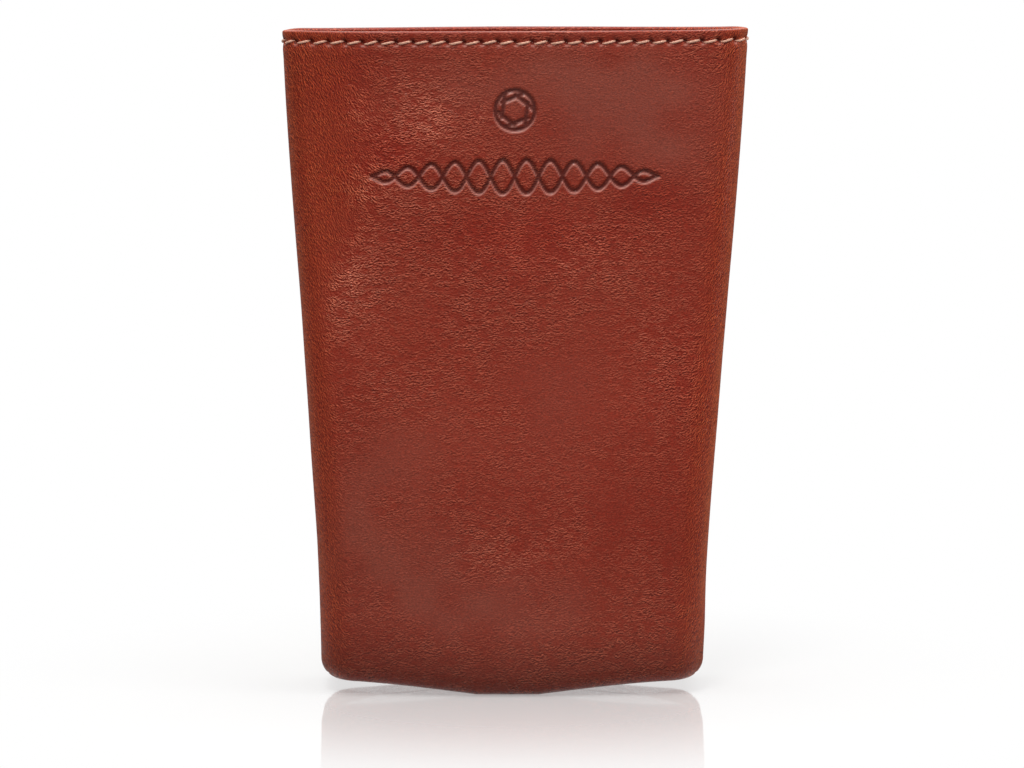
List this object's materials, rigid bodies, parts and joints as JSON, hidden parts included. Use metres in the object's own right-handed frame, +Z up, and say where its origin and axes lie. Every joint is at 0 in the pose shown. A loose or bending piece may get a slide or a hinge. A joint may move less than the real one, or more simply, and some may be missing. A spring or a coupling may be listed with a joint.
{
  "type": "leather slip case",
  "caption": "Open-topped lined leather pouch for a pocket camera: flat topstitched mouth, tapering walls and a boxed base that stands on its own.",
  "frame": {"origin": "centre of the underside's flat patch, where the case rests, below the middle of its bounding box", "axes": "+Z up through the mouth, the front with its topstitching faces -Y, +X to the right seen from the front"},
  "size_m": [0.0882, 0.0302, 0.125],
  "materials": {
    "outer_leather": "glossy red-brown full-grain leather, fine pebbled grain",
    "lining": "matt brown twill",
    "topstitch_thread": "twisted waxed thread, pale beige",
    "seam_thread": "twisted thread, brown",
    "lining_thread": "fine twisted thread, dark brown",
    "interlining": "pressed non-woven felt",
    "base_board": "grey-brown fibre board",
    "mouth_tape": "woven cotton tape"
  },
  "bodies": {
    "root": {"front_panel": "outer_leather", "back_panel": "outer_leather", "side_seam_thread_left": "seam_thread", "side_seam_thread_right": "seam_thread", "base_seam_thread": "seam_thread", "corner_seam_thread_left": "seam_thread", "corner_seam_thread_right": "seam_thread", "lining_front": "lining", "lining_back": "lining", "lining_seam_thread_left": "lining_thread", "lining_seam_thread_right": "lining_thread", "lining_base_seam_thread": "lining_thread", "lining_corner_thread_left": "lining_thread", "lining_corner_thread_right": "lining_thread", "front_interlining": "interlining", "back_interlining": "interlining", "base_board": "base_board", "mouth_tape_front": "mouth_tape", "mouth_tape_back": "mouth_tape", "mouth_needle_thread": "topstitch_thread", "mouth_bobbin_thread": "topstitch_thread"}
  },
  "joints": []
}
